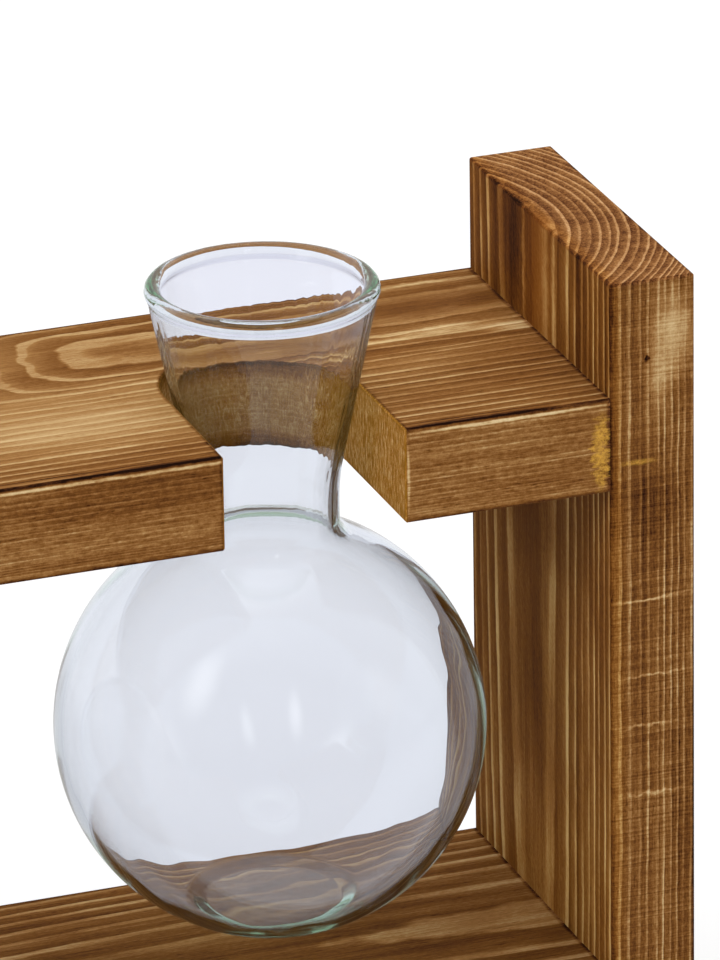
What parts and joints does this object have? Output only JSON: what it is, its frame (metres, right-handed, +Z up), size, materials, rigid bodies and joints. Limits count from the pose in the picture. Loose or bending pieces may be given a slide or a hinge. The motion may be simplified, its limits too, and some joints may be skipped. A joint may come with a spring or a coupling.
{
  "type": "propagation vase",
  "caption": "Tabletop plant propagation vase: clear blown glass bulbs with flared necks hang in the open-fronted slots of a torched pine stand and draw out forward.",
  "frame": {"origin": "centre of the stand's footprint, on the table", "axes": "+X along the row of vases, -Y the open front of the slots, +Z up"},
  "size_m": [0.341, 0.085, 0.1556],
  "materials": {
    "torched_pine": "scorched, brushed and oiled, satin",
    "beech_dowel": "turned and fluted, bare",
    "clear_glass": "blown, clear, fire-polished rim"
  },
  "bodies": {
    "stand": {"base_board": "torched_pine", "holder_shelf": "torched_pine", "left_upright": "torched_pine", "right_upright": "torched_pine", "base_dowels": "beech_dowel", "shelf_dowels": "beech_dowel"},
    "vase_1": {"glass_vase_1": "clear_glass"},
    "vase_2": {"glass_vase_2": "clear_glass"},
    "vase_3": {"glass_vase_3": "clear_glass"}
  },
  "joints": [
    {"name": "vase_1_draw", "type": "slide", "parent": "stand", "child": "vase_1", "axis": [0, -1, 0], "range_m": [0, 0.09]},
    {"name": "vase_2_draw", "type": "slide", "parent": "stand", "child": "vase_2", "axis": [0, -1, 0], "range_m": [0, 0.09]},
    {"name": "vase_3_draw", "type": "slide", "parent": "stand", "child": "vase_3", "axis": [0, -1, 0], "range_m": [0, 0.09]}
  ]
}
